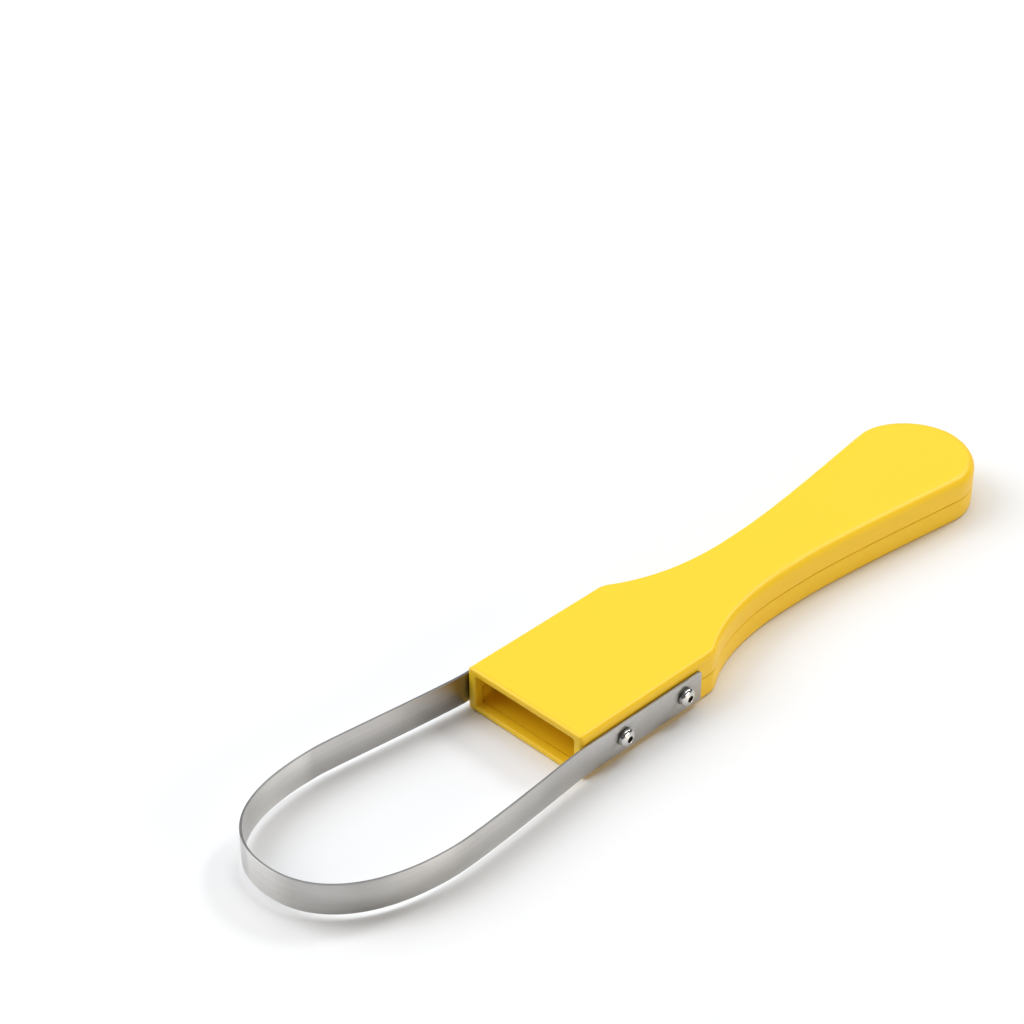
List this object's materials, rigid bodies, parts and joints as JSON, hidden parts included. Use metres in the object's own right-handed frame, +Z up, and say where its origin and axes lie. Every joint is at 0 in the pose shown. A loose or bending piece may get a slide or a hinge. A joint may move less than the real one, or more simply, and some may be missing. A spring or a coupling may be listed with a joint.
{
  "type": "clay modeling tool",
  "caption": "Flat moulded plastic handle whose hollow, open-ended head carries a riveted steel strip bent into a loop, for slicing and trimming clay.",
  "frame": {"origin": "the middle of the tool's own box, on the surface it lies on", "axes": "+Y runs from the loop to the butt of the handle, +Z is up out of the handle's broad top face, +X is across the handle, towards the right rivets"},
  "size_m": [0.0578, 0.2905, 0.0152],
  "materials": {
    "handle_plastic": "smooth moulded yellow plastic with a soft gloss",
    "band_steel": "rolled strip with a satin grain along its length",
    "rivet_metal": "bright domed rivet head",
    "mandrel_steel": "dull grey broken steel stem",
    "washer_steel": "zinc plate"
  },
  "bodies": {
    "root": {"handle_upper_shell": "handle_plastic", "handle_lower_shell": "handle_plastic", "loop_band": "band_steel", "rivet_right_front": "rivet_metal", "rivet_right_rear": "rivet_metal", "rivet_left_front": "rivet_metal", "rivet_left_rear": "rivet_metal", "mandrel_right_front": "mandrel_steel", "mandrel_right_rear": "mandrel_steel", "mandrel_left_front": "mandrel_steel", "mandrel_left_rear": "mandrel_steel", "washer_right_front": "washer_steel", "washer_right_rear": "washer_steel", "washer_left_front": "washer_steel", "washer_left_rear": "washer_steel"}
  },
  "joints": []
}
